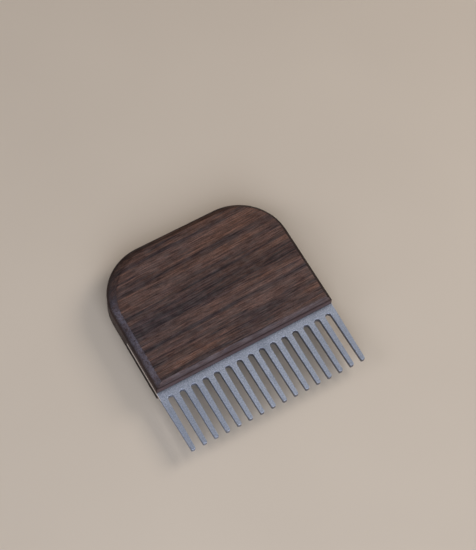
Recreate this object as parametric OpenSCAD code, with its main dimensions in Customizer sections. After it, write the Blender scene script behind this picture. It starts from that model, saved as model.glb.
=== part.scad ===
// Flat grooming comb: a bevelled hardwood handle block with a toothed steel plate
// set into a saw kerf along its front edge. Millimetres, +Z up, the handle's
// underside on Z = 0, teeth pointing along -Y, X across the comb.

/* [Handle] */
// Width of the handle, equal to the width of the steel plate
handle_w = 100; // [90:1:120]
// Length of the handle from its front edge to its back edge
handle_l = 72.5; // [66:0.5:90]
// Thickness of the handle block
handle_t = 18.4; // [15:0.2:24]
// Radius of the two back corners, seen from above
corner_r = 27.5; // [20:0.5:32]

/* [Bevel] */
// Height of the bevel that runs around each broad face
bevel_drop = 3.2; // [1.5:0.1:4]
// Inset of the bevel along the left flank
bevel_left = 3.7; // [2:0.1:6]
// Inset of the bevel along the right flank, planed a little lighter by hand
bevel_right = 2.5; // [2:0.1:6]
// Inset of the bevel along the back edge
bevel_back = 4.1; // [2:0.1:6]
// Inset of the bevel along the front edge, above the teeth
bevel_front = 1.9; // [1:0.1:5]
// Radius of the bevel's inner edge around the left back corner
face_r_left = 28; // [18:0.5:30]
// Radius of the bevel's inner edge around the right back corner
face_r_right = 23; // [18:0.5:30]

/* [Steel plate] */
// Thickness of the steel plate
plate_t = 3; // [2:0.1:4]
// Number of teeth
teeth = 16; // [12:1:18]
// Width of a tooth between the round ends of its slots
tooth_root_w = 3.1; // [2.6:0.1:3.5]
// Width of a tooth at its tip, before the corners are cut
tooth_tip_w = 2.2; // [2:0.1:2.6]
// Width of the outermost teeth at their roots
edge_tooth_w = 3.5; // [3.2:0.1:4.5]
// Size of the small cut across each corner of a tooth tip
tip_cut = 0.7; // [0.3:0.1:0.9]
// Reach of the teeth in front of the handle
tooth_reach = 33.5; // [24:0.5:45]
// Solid strip of steel between the handle and the slots
spine = 3.8; // [2:0.1:8]
// Depth to which the plate is set into the handle
tang_l = 30.5; // [20:0.5:45]

/* [Bond] */
// Thickness of the cured adhesive above, below and behind the tang
bond_t = 0.15; // [0.1:0.05:0.4]

/* [Hidden] */
half_w = handle_w / 2;
front_y = -handle_l / 2;      // front edge of the handle
tip_y = front_y - tooth_reach;
plate_z = (handle_t - plate_t) / 2;
kerf_t = plate_t + 2 * bond_t;
kerf_z = (handle_t - kerf_t) / 2;
pitch = (handle_w - 2 * edge_tooth_w + tooth_root_w) / (teeth - 1);
root_r = (pitch - tooth_root_w) / 2;    // round end of a slot
root_y = front_y - spine - root_r;
tip_gap = (pitch - tooth_tip_w) / 2;    // half the width of a slot at the tips
slice_t = 0.2;                // thickness of the slices that shape the broad faces
over = 1;                     // how far a cutter passes beyond the wood or the steel

// Outline with square front corners and round back corners, inset on each side
module handle_outline(left, right, back, front, r_left, r_right) {
    hull() {
        translate([-half_w + left, front_y + front])
            square([handle_w - left - right, 1]);
        translate([-half_w + left + r_left, -front_y - back - r_left])
            circle(r_left, $fn = 96);
        translate([half_w - right - r_right, -front_y - back - r_right])
            circle(r_right, $fn = 96);
    }
}

// Thin slice of the block at one of its broad faces, inside the bevel
module broad_face(z) {
    translate([0, 0, z])
        linear_extrude(slice_t)
            handle_outline(bevel_left, bevel_right, bevel_back, bevel_front,
                           face_r_left, face_r_right);
}

// Upright middle part of the block, between the two bevels
module wall() {
    translate([0, 0, bevel_drop])
        linear_extrude(handle_t - 2 * bevel_drop)
            handle_outline(0, 0, 0, 0, corner_r, corner_r);
}

// Solid block, bevelled around both broad faces
module block() {
    hull() {
        broad_face(0);
        wall();
        broad_face(handle_t - slice_t);
    }
}

// One slot between two teeth: round at the root, wider at the tips, where it
// also takes the neighbouring corners off both teeth
module slot(x) {
    translate([x, root_y])
        circle(root_r, $fn = 48);
    polygon([
        [x - root_r, root_y],
        [x - tip_gap, tip_y + tip_cut],
        [x - tip_gap - tip_cut, tip_y],
        [x - tip_gap - tip_cut, tip_y - over],
        [x + tip_gap + tip_cut, tip_y - over],
        [x + tip_gap + tip_cut, tip_y],
        [x + tip_gap, tip_y + tip_cut],
        [x + root_r, root_y]
    ]);
}

// Outline of the plate before slotting; the outermost teeth taper on the outside
module plate_outline() {
    edge_x = (teeth / 2 - 1) * pitch + tip_gap + tooth_tip_w;
    polygon([
        [-half_w, front_y + tang_l],
        [-half_w, front_y],
        [-edge_x, tip_y + tip_cut],
        [-edge_x + tip_cut, tip_y],
        [edge_x - tip_cut, tip_y],
        [edge_x, tip_y + tip_cut],
        [half_w, front_y],
        [half_w, front_y + tang_l]
    ]);
}

// Hardwood handle with the kerf cut in from its front edge
module handle() {
    color([0.27, 0.19, 0.16])
        difference() {
            block();
            translate([-half_w - over, front_y - over, kerf_z])
                cube([handle_w + 2 * over, tang_l + bond_t + over, kerf_t]);
        }
}

// Steel plate: tang, spine and tapered teeth in one piece
module comb_plate() {
    color([0.5, 0.53, 0.58])
        translate([0, 0, plate_z])
            linear_extrude(plate_t)
                difference() {
                    plate_outline();
                    for (i = [1 : teeth - 1])
                        slot((i - teeth / 2) * pitch);
                }
}

// Film of cured adhesive that fills the kerf around the tang
module adhesive_bond() {
    color([0.12, 0.09, 0.07])
        difference() {
            translate([-half_w, front_y, kerf_z])
                cube([handle_w, tang_l + bond_t, kerf_t]);
            translate([-half_w - over, front_y - over, plate_z])
                cube([handle_w + 2 * over, tang_l + over, plate_t]);
        }
}

handle();
comb_plate();
adhesive_bond();
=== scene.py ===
import math

import bmesh
import bpy
from mathutils import Euler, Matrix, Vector


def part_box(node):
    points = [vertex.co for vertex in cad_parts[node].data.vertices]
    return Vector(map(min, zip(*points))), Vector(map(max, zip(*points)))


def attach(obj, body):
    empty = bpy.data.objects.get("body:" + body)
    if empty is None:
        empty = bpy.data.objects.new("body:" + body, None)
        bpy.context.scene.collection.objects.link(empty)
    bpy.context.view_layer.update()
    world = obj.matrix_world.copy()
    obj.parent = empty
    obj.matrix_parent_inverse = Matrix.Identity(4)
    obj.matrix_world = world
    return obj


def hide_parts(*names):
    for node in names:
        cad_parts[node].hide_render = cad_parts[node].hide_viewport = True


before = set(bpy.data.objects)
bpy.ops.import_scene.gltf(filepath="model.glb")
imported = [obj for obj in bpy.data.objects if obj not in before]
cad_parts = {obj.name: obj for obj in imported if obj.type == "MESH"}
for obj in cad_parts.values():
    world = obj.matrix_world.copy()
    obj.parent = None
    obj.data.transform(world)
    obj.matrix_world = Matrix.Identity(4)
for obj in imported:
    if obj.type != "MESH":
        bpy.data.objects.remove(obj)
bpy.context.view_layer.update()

MM = 0.001
# Edges that turn by more than this many degrees are shaded as sharp
SHARP_ANGLE = 50

# The handle's bevels, in metres, how far each arris is rounded over, and how many flats a
# round back corner is made of. The wall's lower arris, on the table side, is the crisper one.
BEVEL_DROP = 3.2 * MM
BEVEL_INSET = {"left": 3.7 * MM, "right": 2.5 * MM, "back": 4.1 * MM, "front": 1.9 * MM}
WALL_RADIUS = 27.5 * MM
FACE_RADIUS = {"left": 28 * MM, "right": 23 * MM}
OUTER_ARRIS = 2.0 * MM
LOWER_ARRIS = 0.5 * MM
INNER_ARRIS = 0.35 * MM
FRONT_CORNER = 0.45 * MM
KERF_ARRIS = 0.12 * MM
CORNER_STEPS = 40

# The steel plate: its teeth, its rounded tips and arrises, and how many flats the arrises and
# the round slot ends are made of
TEETH = 16
TOOTH_ROOT = 3.1 * MM
TOOTH_TIP = 2.2 * MM
EDGE_TOOTH = 3.5 * MM
SPINE = 3.8 * MM
TIP_ROUND = 0.8 * MM
STEEL_ARRIS = 0.2 * MM
RIM_STEPS = 3
SLOT_STEPS = 24

# Walnut: how far the grain leans off the comb's width and wanders, its growth streaks as
# (place along the handle and half width in millimetres, depth of tone, below zero where
# paler), how many fine contour lines its figure has, and its tones from dark to pale
GRAIN_LEAN = 0.035
GRAIN_SWAY = 5 * MM
GROWTH_STREAKS = [
    (28, 1.8, 0.6), (21.5, 0.5, 0.6), (16, 2.0, 0.8), (3.5, 0.5, 0.6), (-4, 4.0, 0.45),
    (-8, 3.0, 0.35), (-12, 0.5, 0.8), (-15.7, 0.8, 1.0), (-24, 1.6, 0.4), (-32, 0.8, 0.5),
    (-13.8, 0.9, -0.25), (-19.5, 2.4, -0.4), (-21.6, 0.3, 0.6), (-28.3, 2.6, -0.4),
    (-27.0, 0.3, 0.6), (-30.0, 0.3, 0.5),
]
CONTOUR_LINES = 11
WALNUT_TONES = [
    (0.08, (0.019, 0.011, 0.012)),
    (0.30, (0.037, 0.021, 0.021)),
    (0.52, (0.062, 0.034, 0.028)),
    (0.78, (0.105, 0.055, 0.041)),
]
# The flanks' end grain tone, lightened and blued as a painted cool sheen
END_GRAIN_AND_SHEEN = (0.045, 0.029, 0.028, 1)
# Painted light: the lighter colour of the front wall
FRONT_WALL_LIGHT_WOOD = (0.180, 0.112, 0.106, 1)
# The darkest wood tone, for painted shade and for the darker arrises
SHADE_AND_ARRIS_WOOD = (0.014, 0.009, 0.009, 1)
PORE = (0.014, 0.009, 0.010, 1)

# Steel: its blasted mottle from dark to pale, and its other tones
STEEL_TONES = [(0.36, (0.26, 0.30, 0.377)), (0.64, (0.51, 0.557, 0.65))]
# Smudged steel, also used for painted shade on the teeth
SMUDGE_AND_SHADE_STEEL = (0.20, 0.23, 0.29, 1)
# Cut steel edges, darker partly by their own finish and partly by painted shade
CUT_EDGE_AND_SHADE_STEEL = (0.15, 0.145, 0.145, 1)
SANDED_STEEL = (0.85, 0.80, 0.74, 1)
# Painted shade on the lower part of the steel's flanks
FLANK_SHADE_STEEL = (0.02, 0.015, 0.012, 1)

# The camera, in the row frame: metres, degrees and millimetres of lens
CAMERA_PLACE = (-0.18135, -0.28236, 0.73619)
CAMERA_TURN = (25.319, -2.388, -30.002)
CAMERA_LENS = 104.16


# ---------------------------------------------------------------- mesh helpers

def blend(a, b, t):
    return a + (b - a) * t


def soft_corner(before, corner, after, reach, steps):
    """Points that round a corner of a flat line, starting and ending reach away from it."""
    before, corner, after = Vector(before), Vector(corner), Vector(after)
    start = corner + (before - corner).normalized() * reach
    end = corner + (after - corner).normalized() * reach
    curve = []
    for i in range(steps + 1):
        t = i / steps
        curve.append(blend(blend(start, corner, t), blend(corner, end, t), t))
    return curve


def arc(x, y, radius, start, end, steps):
    """Points on a circle from one angle to another, in degrees."""
    angles = [math.radians(blend(start, end, i / steps)) for i in range(steps + 1)]
    return [Vector((x + radius * math.cos(a), y + radius * math.sin(a))) for a in angles]


def run_in(outline, distance):
    """An anticlockwise outline moved inwards by a distance, with mitred corners."""
    moved = []
    for i, point in enumerate(outline):
        before = (point - outline[i - 1]).normalized()
        after = (outline[(i + 1) % len(outline)] - point).normalized()
        inward = Vector((-before.y - after.y, before.x + after.x)).normalized()
        mitre = inward.dot(Vector((-before.y, before.x)))
        moved.append(point + inward * (distance / mitre))
    return moved


def ring_at(mesh, outline, height):
    """New points of a mesh, along an outline at one height."""
    return [mesh.verts.new((p.x, p.y, height)) for p in outline]


def sew(mesh, below, above, sides):
    """Joins two rings with side faces, from their first points on."""
    for i in range(sides):
        j = (i + 1) % len(below)
        mesh.faces.new((below[i], below[j], above[j], above[i]))


def round_edges(mesh, edges, width, steps):
    bmesh.ops.bevel(mesh, geom=edges, offset=width, segments=steps, profile=0.5,
                    affect="EDGES", clamp_overlap=True)


def finish_piece(mesh, name, node, material):
    """Turns a bmesh into a shaded object that stands for a CAD node."""
    data = bpy.data.meshes.new(name)
    mesh.to_mesh(data)
    mesh.free()
    data.polygons.foreach_set("use_smooth", [True] * len(data.polygons))
    data.set_sharp_from_angle(angle=math.radians(SHARP_ANGLE))
    piece = bpy.data.objects.new(name, data)
    bpy.context.scene.collection.objects.link(piece)
    data.materials.append(material)
    even = piece.modifiers.new("even_normals", "WEIGHTED_NORMAL")
    even.keep_sharp = True
    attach(piece, "root")
    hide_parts(node)


# ---------------------------------------------------------------- the handle

def handle_ring(lo, hi, kerf_end, inset):
    """The handle's outline with its bevel run in by a share of the full inset.

    It runs anticlockwise from the kerf's end on the right flank, round the back to
    the kerf's end on the left flank, and then along the front edge.
    """
    left = lo.x + inset * BEVEL_INSET["left"]
    right = hi.x - inset * BEVEL_INSET["right"]
    back = hi.y - inset * BEVEL_INSET["back"]
    front = lo.y + inset * BEVEL_INSET["front"]
    r_left = blend(WALL_RADIUS, FACE_RADIUS["left"], inset)
    r_right = blend(WALL_RADIUS, FACE_RADIUS["right"], inset)
    back_part = [Vector((right, kerf_end))]
    back_part += arc(right - r_right, back - r_right, r_right, 0, 90, CORNER_STEPS)
    back_part += arc(left + r_left, back - r_left, r_left, 90, 180, CORNER_STEPS)
    back_part += [Vector((left, kerf_end))]
    corner = FRONT_CORNER
    front_part = arc(left + corner, front + corner, corner, 180, 270, 4)
    front_part += arc(right - corner, front + corner, corner, 270, 360, 4)
    return back_part, front_part


def bevel_profile(top, reach):
    """(share of the inset, height) pairs from the wall over the bevel onto the broad face.

    The arris between the wall and the bevel is rounded over, as far as reach from it.
    """
    width = sum(BEVEL_INSET.values()) / len(BEVEL_INSET)
    wall_top = (0, top - BEVEL_DROP)
    face_edge = (width, top)
    line = soft_corner((0, top - 3 * BEVEL_DROP), wall_top, face_edge, reach, 5)
    line += soft_corner(wall_top, face_edge, (3 * width, top), INNER_ARRIS, 4)
    return [(point.x / width, point.y) for point in line]


def build_handle(material):
    lo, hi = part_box("handle")
    bond_lo, bond_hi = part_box("adhesive_bond")
    kerf_end = bond_hi.y
    upper = bevel_profile(hi.z, OUTER_ARRIS)
    under = reversed(bevel_profile(hi.z, LOWER_ARRIS))
    lower = [(inset, lo.z + hi.z - z) for inset, z in under]
    levels = lower + [(0, bond_lo.z), (0, bond_hi.z)] + upper
    kerf_level = len(lower)

    mesh = bmesh.new()
    rings = []
    for inset, z in levels:
        back_part, front_part = handle_ring(lo, hi, kerf_end, inset)
        rings.append(ring_at(mesh, back_part + front_part, z))
    count = len(rings[0])
    last = len(back_part) - 1
    for level in range(len(rings) - 1):
        sides = last if level == kerf_level else count
        sew(mesh, rings[level], rings[level + 1], sides)
    mesh.faces.new(rings[-1])
    mesh.faces.new(reversed(rings[0]))

    # the kerf's floor, roof and back
    sill, lintel = rings[kerf_level], rings[kerf_level + 1]
    mesh.faces.new([sill[0]] + sill[last:])
    mesh.faces.new(reversed([lintel[0]] + lintel[last:]))
    mesh.faces.new((sill[last], sill[0], lintel[0], lintel[last]))

    rim = [mesh.edges.get((sill[0], lintel[0])), mesh.edges.get((sill[last], lintel[last]))]
    for ring in (sill, lintel):
        for i in range(last, count):
            rim.append(mesh.edges.get((ring[i], ring[(i + 1) % count])))
    round_edges(mesh, rim, KERF_ARRIS, 2)
    finish_piece(mesh, "handle_block", "handle", material)


# ---------------------------------------------------------------- the steel plate

def plate_outline(lo, hi, front):
    """The plate's outline, anticlockwise: tang, left side, teeth and slots, right side."""
    half = (hi.x - lo.x) / 2
    middle = (hi.x + lo.x) / 2
    pitch = (hi.x - lo.x - 2 * EDGE_TOOTH + TOOTH_ROOT) / (TEETH - 1)
    root_r = (pitch - TOOTH_ROOT) / 2
    root_y = front - SPINE - root_r
    tip_gap = (pitch - TOOTH_TIP) / 2
    outline = [Vector((hi.x, hi.y)), Vector((lo.x, hi.y)), Vector((lo.x, front))]
    for i in range(TEETH):
        slot_x = middle + (i + 1 - TEETH / 2) * pitch
        left_tip = slot_x - pitch + tip_gap
        right_tip = slot_x - tip_gap
        left_root = (middle - half, front) if i == 0 else (slot_x - pitch + root_r, root_y)
        right_root = (middle + half, front) if i == TEETH - 1 else (slot_x - root_r, root_y)
        centre = (left_tip + right_tip) / 2
        outline += soft_corner(left_root, (left_tip, lo.y), (centre, lo.y), TIP_ROUND, 5)
        outline += soft_corner((centre, lo.y), (right_tip, lo.y), right_root, TIP_ROUND, 5)
        if i < TEETH - 1:
            outline += arc(slot_x, root_y, root_r, 180, 0, SLOT_STEPS)
    outline.append(Vector((hi.x, front)))
    return outline


def build_plate(material):
    lo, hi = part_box("comb_plate")
    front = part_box("handle")[0].y
    outline = plate_outline(lo, hi, front)
    # (inset, depth) pairs over the rounded rim, from a broad face down to the side
    turns = [math.radians(90 * i / RIM_STEPS) for i in range(RIM_STEPS + 1)]
    rim = [(STEEL_ARRIS * (1 - math.sin(a)), STEEL_ARRIS * (1 - math.cos(a))) for a in turns]
    levels = [(inset, lo.z + depth) for inset, depth in rim]
    levels += [(inset, hi.z - depth) for inset, depth in reversed(rim)]

    mesh = bmesh.new()
    rings = [ring_at(mesh, run_in(outline, inset), z) for inset, z in levels]
    for below, above in zip(rings, rings[1:]):
        sew(mesh, below, above, len(outline))
    mesh.faces.new(rings[-1])
    mesh.faces.new(reversed(rings[0]))
    finish_piece(mesh, "steel_plate", "comb_plate", material)


# ---------------------------------------------------------------- materials

class Nodes:
    """Short forms for building a node material."""

    def __init__(self, name):
        self.material = bpy.data.materials.new(name)
        self.material.use_nodes = True
        self.tree = self.material.node_tree
        self.shader = self.tree.nodes["Principled BSDF"]
        self.place = self.add("ShaderNodeTexCoord").outputs["Object"]

    def add(self, kind, inputs=None, **settings):
        node = self.tree.nodes.new(kind)
        for name, value in settings.items():
            setattr(node, name, value)
        for key, value in (inputs or {}).items():
            self.put(node.inputs[key], value)
        return node

    def put(self, socket, value):
        if isinstance(value, bpy.types.NodeSocket):
            self.tree.links.new(value, socket)
        else:
            socket.default_value = value

    def maths(self, operation, a, b=0.0):
        return self.add("ShaderNodeMath", {0: a, 1: b}, operation=operation).outputs[0]

    def absolute(self, value):
        return self.maths("ABSOLUTE", value)

    def plus(self, a, b):
        return self.maths("ADD", a, b)

    def times(self, a, b):
        return self.maths("MULTIPLY", a, b)

    def minus(self, a, b):
        return self.maths("SUBTRACT", a, b)

    def most(self, a, b):
        return self.maths("MAXIMUM", a, b)

    def split(self, vector):
        return self.add("ShaderNodeSeparateXYZ", {0: vector}).outputs

    def facing(self):
        return self.split(self.add("ShaderNodeNewGeometry").outputs["Normal"])

    def span(self, value, from_low, from_high, to_low=0.0, to_high=1.0):
        """Maps a value from one span onto another, with soft ends."""
        inputs = {"Value": value, "From Min": from_low, "From Max": from_high,
                  "To Min": to_low, "To Max": to_high}
        return self.add("ShaderNodeMapRange", inputs, interpolation_type="SMOOTHSTEP").outputs[0]

    def stretch(self, place, scale, shift=(0, 0, 0)):
        inputs = {"Vector": place, "Scale": scale, "Location": shift}
        return self.add("ShaderNodeMapping", inputs).outputs[0]

    def noise(self, place, scale=1.0, detail=2.0, roughness=0.5, warp=0.0):
        inputs = {"Vector": place, "Scale": scale, "Detail": detail, "Roughness": roughness,
                  "Distortion": warp}
        return self.add("ShaderNodeTexNoise", inputs).outputs["Fac"]

    def mix(self, share, a, b, how="MIX"):
        node = self.add("ShaderNodeMix", {"Factor": share}, data_type="RGBA", blend_type=how)
        self.put(node.inputs[6], a)
        self.put(node.inputs[7], b)
        return node.outputs[2]

    def ramp(self, value, stops):
        node = self.add("ShaderNodeValToRGB", {"Fac": value})
        elements = node.color_ramp.elements
        while len(elements) < len(stops):
            elements.new(0.5)
        for element, (position, colour) in zip(elements, stops):
            element.position = position
            element.color = (*colour, 1)
        return node.outputs["Color"]

    def shade(self, colour, swing):
        """Multiplies a colour by a grey."""
        grey = self.add("ShaderNodeCombineColor", {0: swing, 1: swing, 2: swing}).outputs[0]
        return self.mix(1.0, colour, grey, "MULTIPLY")

    def bump(self, height, depth, strength):
        inputs = {"Height": height, "Distance": depth, "Strength": strength}
        return self.add("ShaderNodeBump", inputs).outputs[0]

    def finish(self, **inputs):
        for key, value in inputs.items():
            self.put(self.shader.inputs[key.replace("_", " ")], value)
        return self.material


def grain_place(n):
    """The place in the wood, bent so that the grain leans and wanders.

    The grain runs across the comb, along X.
    """
    drift = n.noise(n.stretch(n.place, (10, 18, 18)), detail=1)
    sway = n.times(n.minus(drift, 0.5), GRAIN_SWAY)
    lean = n.times(n.split(n.place)["X"], -GRAIN_LEAN)
    bend = {"Y": n.plus(sway, lean), "Z": sway}
    offset = n.add("ShaderNodeCombineXYZ", bend).outputs[0]
    return n.add("ShaderNodeVectorMath", {0: n.place, 1: offset}, operation="ADD").outputs[0]


def growth(n, grain):
    """How dark the growth streaks are that this block shows."""
    level = n.split(grain)["Y"]
    dark = 0.0
    for middle, half_width, depth in GROWTH_STREAKS:
        off = n.maths("DIVIDE", n.minus(level, middle * MM), half_width * MM)
        dark = n.plus(dark, n.span(n.absolute(off), 0.35, 1.3, depth, 0.0))
    return dark


def grain_colour(n, grain, streaks, threads):
    """Walnut's colour, from its growth streaks down to hair-fine threads."""
    bands = n.noise(n.stretch(grain, (9, 150, 80)), detail=3, roughness=0.6, warp=0.3)
    fibres = n.noise(n.stretch(grain, (28, 1200, 1000)), detail=2, roughness=0.65)
    warmth = n.noise(n.stretch(grain, (12, 90, 60), (3.1, 0.7, 0.2)), detail=2)
    grit = n.noise(n.place, scale=1400, detail=2)
    # thin dark lines, where a slow noise crosses evenly spaced levels
    contours = n.noise(n.stretch(grain, (5, 170, 110), (0.4, 1.3, 0.9)), detail=1)
    rise = n.maths("FRACT", n.times(contours, CONTOUR_LINES))
    line = n.span(n.absolute(n.minus(rise, 0.5)), 0.0, 0.14, 1.0, 0.0)

    tone = n.span(bands, 0.28, 0.72, 0.0, 0.44)
    tone = n.plus(tone, n.span(streaks, 0.32, 0.68, -0.12, 0.16))
    tone = n.minus(tone, n.times(growth(n, grain), 0.36))
    tone = n.minus(tone, n.times(line, 0.26))
    colour = n.ramp(n.plus(tone, 0.375), WALNUT_TONES)
    tint = n.mix(n.span(warmth, 0.38, 0.64), (0.95, 0.98, 1.08, 1), (1.09, 0.99, 0.92, 1))
    colour = n.mix(1.0, colour, tint, "MULTIPLY")
    colour = n.shade(colour, n.span(fibres, 0.32, 0.68, 0.74, 1.26))
    colour = n.shade(colour, n.span(threads, 0.32, 0.68, 0.64, 1.36))
    return n.shade(colour, n.span(grit, 0.35, 0.65, 0.86, 1.14))


def wood_sides_and_shade(n, colour):
    """Colours the wood by side, paints light on the front wall and shade on the bevels and below
    the steel, and darkens the arrises; also says how far its sheen is gone.
    """
    lo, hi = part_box("handle")
    at = n.split(n.place)
    facing = n.facing()
    tilt = n.absolute(facing["Z"])

    # end grain soaks up more oil, so the flanks are more even in tone; that tone is also lighter
    # and bluer as a painted cool sheen
    end = n.span(n.absolute(facing["X"]), 0.3, 0.55)
    colour = n.mix(n.times(end, 0.6), colour, END_GRAIN_AND_SHEEN)
    # painted light: the front wall is coloured lighter, standing in for the light it takes from
    # the front and the bright steel it reflects
    colour = n.mix(n.span(facing["Y"], -0.98, -0.78, 0.75, 0.0), colour, FRONT_WALL_LIGHT_WOOD)

    # the arris above and below the wall is darker, least on end grain
    middle = (lo.z + hi.z) / 2
    arris = n.minus(n.absolute(n.minus(at["Z"], middle)), hi.z - middle - BEVEL_DROP)
    dark_arris = n.span(n.absolute(arris), 0.1 * MM, 0.7 * MM, 0.55, 0.0)
    dark_arris = n.times(dark_arris, n.minus(1.0, n.times(end, 0.65)))
    # painted shade: the bevels are darker than the broad face
    bevel_shade = n.span(tilt, 0.86, 0.98, 0.3, 0.0)
    # painted shade: the lower part of each bevel is darker, as its rounding turns from the light
    low_bevel_shade = n.span(arris, 0.2 * MM, 2.4 * MM, 0.45, 0.0)
    low_bevel_shade = n.times(low_bevel_shade, n.maths("GREATER_THAN", arris, 0.0))
    # painted shade: the right bevel is darker than the left, as it faces away from the light
    right = n.times(n.span(facing["X"], 0.3, 0.5, 0.0, 0.55), n.span(tilt, 0.05, 0.3))
    # painted shadow: the flanks are darkened below the steel, fading out behind the tang
    tang_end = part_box("adhesive_bond")[1].y
    under = n.span(at["Z"], lo.z + 7.0 * MM, lo.z + 7.6 * MM, 0.85, 0.0)
    fade = n.span(at["Y"], tang_end - 2 * MM, tang_end + 7 * MM, 1.0, 0.3)
    under = n.times(under, n.times(fade, end))
    for share in (bevel_shade, right, low_bevel_shade, under, dark_arris):
        colour = n.mix(share, colour, SHADE_AND_ARRIS_WOOD)
    return colour, n.most(n.most(dark_arris, under), right)


def walnut():
    n = Nodes("walnut")
    grain = grain_place(n)
    streaks = n.noise(n.stretch(grain, (30, 560, 380)), detail=3, roughness=0.6)
    threads = n.noise(n.stretch(grain, (120, 2000, 1700)), detail=2, roughness=0.65)
    dashes = n.noise(n.stretch(grain, (180, 1900, 1900), (0.2, 0.5, 0.7)), detail=1)
    colour = grain_colour(n, grain, streaks, threads)
    # open pores: short dark dashes that lie along the grain
    pore = n.span(dashes, 0.60, 0.70)
    colour = n.mix(n.times(pore, 0.5), colour, PORE)
    colour, sheen_cut = wood_sides_and_shade(n, colour)

    # the open, oiled surface has a soft sheen from above but none at a low angle
    graze = n.add("ShaderNodeLayerWeight", {"Blend": 0.5}).outputs["Facing"]
    patches = n.noise(n.place, scale=160, detail=3, roughness=0.6)
    sheen = n.times(n.span(graze, 0.28, 0.5, 0.42, 0.08), n.span(dashes, 0.3, 0.7, 1.3, 0.6))
    sheen = n.times(sheen, n.span(patches, 0.35, 0.65, 0.65, 1.2))
    sheen = n.times(sheen, n.minus(1.0, sheen_cut))

    rough = n.plus(n.span(streaks, 0.3, 0.7, 0.38, 0.46), n.times(pore, 0.2))
    relief = n.minus(n.times(threads, 0.6), pore)
    return n.finish(Base_Color=colour, Roughness=rough, IOR=1.5, Specular_IOR_Level=sheen,
                    Normal=n.bump(relief, 0.05 * MM, 0.6))


def steel():
    n = Nodes("steel")
    lo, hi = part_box("comb_plate")
    at = n.split(n.place)
    mottle = n.noise(n.place, scale=1500, detail=3, roughness=0.65)
    cloud = n.noise(n.place, scale=70, detail=3, roughness=0.55)
    smudge = n.noise(n.stretch(n.place, (60, 38, 60), (0.6, 0.2, 0)), detail=2)
    colour = n.ramp(mottle, STEEL_TONES)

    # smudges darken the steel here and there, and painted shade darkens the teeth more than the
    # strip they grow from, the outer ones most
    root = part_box("handle")[0].y - SPINE
    outer_shade = n.span(n.absolute(at["X"]), 5 * MM, 45 * MM, 0.25, 0.8)
    outer_shade = n.times(outer_shade, n.span(at["Y"], root - 8 * MM, root, 1.0, 0.3))
    smudge_and_shade = n.most(n.span(smudge, 0.56, 0.72), outer_shade)
    colour = n.mix(n.times(smudge_and_shade, 0.55), colour, SMUDGE_AND_SHADE_STEEL)

    # the flanks of the tang were sanded bright along with the wood; painted shade darkens them
    # below
    inside = n.maths("LESS_THAN", n.absolute(at["X"]), hi.x - 0.1 * MM)
    flank_shade = n.span(at["Z"], lo.z + 1.2 * MM, lo.z + 1.7 * MM, 0.92, 0.0)
    colour = n.mix(inside, n.mix(flank_shade, SANDED_STEEL, FLANK_SHADE_STEEL), colour)
    # the cut edges between the teeth are duller and darker than the blasted faces; part of that
    # darkness is painted shade from the slots they face, less towards the left end
    edge = n.minus(1.0, n.span(n.absolute(n.facing()["Z"]), 0.25, 0.8))
    edge = n.times(edge, inside)
    edge_shade_share = n.span(at["X"], -42 * MM, -5 * MM, 0.3, 0.8)
    colour = n.mix(n.times(edge, edge_shade_share), colour, CUT_EDGE_AND_SHADE_STEEL)
    rough = n.plus(n.span(cloud, 0.3, 0.7, 0.44, 0.54), n.times(edge, 0.1))
    return n.finish(Base_Color=colour, Metallic=1.0, Roughness=rough,
                    Normal=n.bump(mottle, 0.02 * MM, 0.5))


def adhesive():
    n = Nodes("adhesive")
    lumps = n.noise(n.place, scale=900, detail=3)
    colour = n.ramp(lumps, [(0.35, (0.008, 0.006, 0.005)), (0.65, (0.020, 0.015, 0.012))])
    return n.finish(Base_Color=colour, Roughness=n.span(lumps, 0.3, 0.7, 0.45, 0.7),
                    Normal=n.bump(lumps, 0.05 * MM, 0.5))


def pale_floor():
    n = Nodes("pale_floor")
    tone = n.noise(n.place, scale=9, detail=2)
    colour = n.ramp(tone, [(0.3, (0.62, 0.54, 0.462)), (0.7, (0.645, 0.563, 0.482))])
    return n.finish(Base_Color=colour, Roughness=0.75, Specular_IOR_Level=0.25)


# ---------------------------------------------------------------- studio

def add_camera():
    camera = bpy.data.objects.new("camera", bpy.data.cameras.new("camera"))
    camera.data.lens = CAMERA_LENS
    camera.data.sensor_width = 36
    camera.data.clip_start = 0.01
    camera.location = CAMERA_PLACE
    camera.rotation_euler = Euler([math.radians(a) for a in CAMERA_TURN])
    bpy.context.scene.collection.objects.link(camera)
    bpy.context.scene.camera = camera


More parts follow.
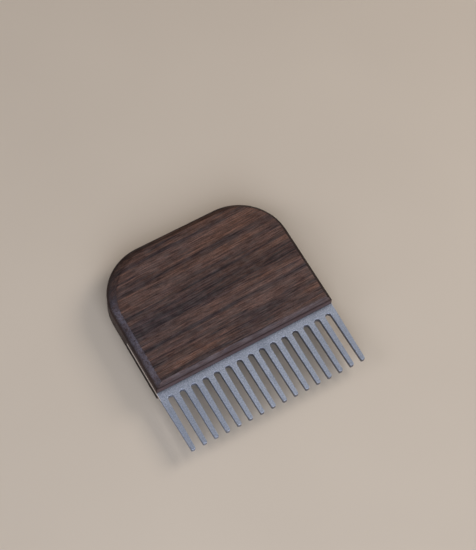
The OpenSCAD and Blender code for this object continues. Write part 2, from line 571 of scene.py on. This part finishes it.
def seen(right, near, height):
    """A place on the row frame's axes, from one as the camera sees the table."""
    turn = math.radians(CAMERA_TURN[2])
    across = Vector((math.cos(turn), math.sin(turn), 0))
    toward = Vector((math.sin(turn), -math.cos(turn), 0))
    return across * right + toward * near + Vector((0, 0, height))


def add_softbox(name, right, near, height, size, power, colour, sheen_only=False):
    """A square light aimed at the comb. right and near are as the camera sees the table."""
    lamp = bpy.data.lights.new(name, "AREA")
    lamp.size = size
    lamp.energy = power
    lamp.color = colour
    box = bpy.data.objects.new(name, lamp)
    box.location = seen(right, near, height)
    box.rotation_euler = (-box.location).to_track_quat("-Z", "Y").to_euler()
    box.visible_diffuse = not sheen_only
    bpy.context.scene.collection.objects.link(box)


def add_floor(material):
    bpy.ops.mesh.primitive_plane_add(size=6, location=(0, 0, 0))
    floor = bpy.context.object
    floor.name = "floor"
    floor.data.materials.append(material)


def add_sky(colour, strength):
    world = bpy.data.worlds.new("studio")
    world.use_nodes = True
    background = world.node_tree.nodes["Background"]
    background.inputs["Color"].default_value = (*colour, 1)
    background.inputs["Strength"].default_value = strength
    bpy.context.scene.world = world


build_handle(walnut())
build_plate(steel())
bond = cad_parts["adhesive_bond"]
bond_material = adhesive()
for slot in bond.material_slots:
    slot.material = bond_material

add_floor(pale_floor())
add_camera()
add_sky((1.0, 0.95, 0.89), 0.20)
add_softbox("warm_right", 0.78, -0.42, 0.75, 0.5, 4.8, (1.0, 0.93, 0.85))
add_softbox("cool_left", -0.85, 0.35, 0.65, 0.5, 2.0, (0.95, 0.95, 1.0))
add_softbox("cool_front", 0.15, 0.72, 0.70, 0.8, 5.9, (0.86, 0.92, 1.0))
add_softbox("left_sheen", -0.93, 0.13, 0.37, 0.5, 2.6, (0.62, 0.64, 1.0), sheen_only=True)
add_softbox("top_sheen", 0.02, -0.2, 0.95, 0.6, 0.75, (0.94, 0.93, 1.0), sheen_only=True)
add_softbox("front_sheen", 0.5, 0.85, 0.22, 0.9, 10.0, (0.76, 0.78, 1.0), sheen_only=True)
bpy.context.scene.view_settings.view_transform = "Standard"
